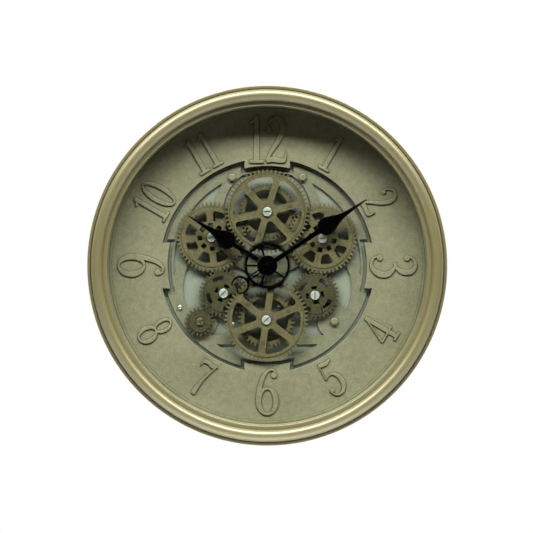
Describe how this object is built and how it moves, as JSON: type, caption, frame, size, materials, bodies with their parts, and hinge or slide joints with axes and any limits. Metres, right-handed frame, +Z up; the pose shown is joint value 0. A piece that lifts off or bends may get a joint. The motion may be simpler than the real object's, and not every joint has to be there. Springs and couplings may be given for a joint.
{
  "type": "gear wall clock",
  "caption": "Round wall clock: rolled metallic frame and raised-numeral dial around a recessed pan of exposed turning gears, with spade hands behind glass and a keyhole hanger.",
  "frame": {"origin": "on the dial's axis, in the plane of the frame's back rim, which rests on the wall", "axes": "+X to 3 o'clock, +Y into the wall, +Z up to 12 o'clock"},
  "size_m": [0.46, 0.0611, 0.46],
  "materials": {
    "frame_paint": "satin",
    "glass": "polished",
    "rubber": "matte",
    "champagne_paint": "satin",
    "bright_floor": "satin",
    "steel": "satin",
    "dark_plastic": "matte",
    "battery": "satin",
    "brass": "satin",
    "black_paint": "satin",
    "black_plastic": "satin",
    "bronze_paint": "satin"
  },
  "bodies": {
    "case": {"frame_ring": "frame_paint", "glass": "glass", "glass_gasket": "rubber", "dial_plate": "champagne_paint", "bridge_plate": "champagne_paint", "bridge_bolts": "champagne_paint", "gear_pan": "bright_floor", "floor_plate": "bright_floor", "dial_screws": "steel", "pan_screws": "steel", "cover_screws": "steel", "hanger_plate": "steel", "hanger_rivets": "steel", "movement_screws": "steel", "movement_contacts": "steel", "motor_screws": "steel", "motor_contacts": "steel", "long_axles": "steel", "short_axles": "steel", "back_cover": "dark_plastic", "movement_case": "dark_plastic", "motor_case": "dark_plastic", "movement_battery": "battery", "motor_battery": "battery", "centre_bush": "brass", "bush_washer": "brass", "bush_nut": "brass", "centre_wheel": "black_plastic"},
    "upper_gears": {"upper_gear": "bronze_paint", "upper_rear_gear": "bronze_paint", "upper_rivets": "steel"},
    "lower_gears": {"lower_gear": "bronze_paint", "lower_rear_gear": "bronze_paint", "lower_rivets": "steel"},
    "left_gears": {"left_gear": "bronze_paint", "left_rear_gear": "bronze_paint"},
    "right_gears": {"right_gear": "bronze_paint", "right_rear_gear": "bronze_paint"},
    "lower_left_gears": {"lower_left_gear": "bronze_paint", "lower_left_rear_gear": "bronze_paint"},
    "lower_right_gears": {"lower_right_gear": "bronze_paint", "lower_right_rear_gear": "bronze_paint"},
    "drive": {"drive_pinion": "bronze_paint", "drive_screw": "brass", "motor_shaft": "steel"},
    "hour": {"hour_hand": "black_paint", "hour_pipe": "brass"},
    "minute": {"minute_hand": "black_paint", "minute_pipe": "brass"},
    "second": {"second_hand": "black_paint", "second_arbor": "steel"},
    "knob": {"setting_knob": "dark_plastic"}
  },
  "joints": [
    {"name": "upper_spin", "type": "hinge", "parent": "case", "child": "upper_gears", "pos_m": [0, -0.031, 0.06928], "axis": [0, 1, 0], "continuous": true},
    {"name": "lower_spin", "type": "hinge", "parent": "case", "child": "lower_gears", "pos_m": [-0.00116, -0.031, -0.06949], "axis": [0, 1, 0], "continuous": true},
    {"name": "left_spin", "type": "hinge", "parent": "case", "child": "left_gears", "pos_m": [-0.0716, -0.029, 0.03649], "axis": [0, 1, 0], "continuous": true},
    {"name": "right_spin", "type": "hinge", "parent": "case", "child": "right_gears", "pos_m": [0.0709, -0.029, 0.035], "axis": [0, 1, 0], "continuous": true},
    {"name": "lower_left_spin", "type": "hinge", "parent": "case", "child": "lower_left_gears", "pos_m": [-0.0562, -0.029, -0.03537], "axis": [0, 1, 0], "continuous": true},
    {"name": "lower_right_spin", "type": "hinge", "parent": "case", "child": "lower_right_gears", "pos_m": [0.06131, -0.029, -0.03787], "axis": [0, 1, 0], "continuous": true},
    {"name": "drive_spin", "type": "hinge", "parent": "case", "child": "drive", "pos_m": [-0.08638, -0.029, -0.07173], "axis": [0, 1, 0], "continuous": true},
    {"name": "minute_turn", "type": "hinge", "parent": "case", "child": "minute", "pos_m": [0, -0.041, 0], "axis": [0, 1, 0], "continuous": true},
    {"name": "hour_turn", "type": "hinge", "parent": "case", "child": "hour", "pos_m": [0, -0.039, 0], "axis": [0, 1, 0], "continuous": true},
    {"name": "second_turn", "type": "hinge", "parent": "case", "child": "second", "pos_m": [0, -0.043, 0], "axis": [0, 1, 0], "continuous": true},
    {"name": "knob_turn", "type": "hinge", "parent": "case", "child": "knob", "pos_m": [0, -0.0025, 0.017], "axis": [0, 1, 0], "continuous": true}
  ],
  "couplings": [
    {"joint": "left_spin", "follows": "upper_spin", "ratio": -0.8},
    {"joint": "right_spin", "follows": "upper_spin", "ratio": -0.8},
    {"joint": "lower_left_spin", "follows": "upper_spin", "ratio": 1.1765},
    {"joint": "lower_right_spin", "follows": "upper_spin", "ratio": 1.1765},
    {"joint": "lower_spin", "follows": "upper_spin", "ratio": -1},
    {"joint": "drive_spin", "follows": "upper_spin", "ratio": -2},
    {"joint": "hour_turn", "follows": "minute_turn", "ratio": 0.083333},
    {"joint": "second_turn", "follows": "minute_turn", "ratio": 60},
    {"joint": "knob_turn", "follows": "minute_turn", "ratio": -3}
  ]
}
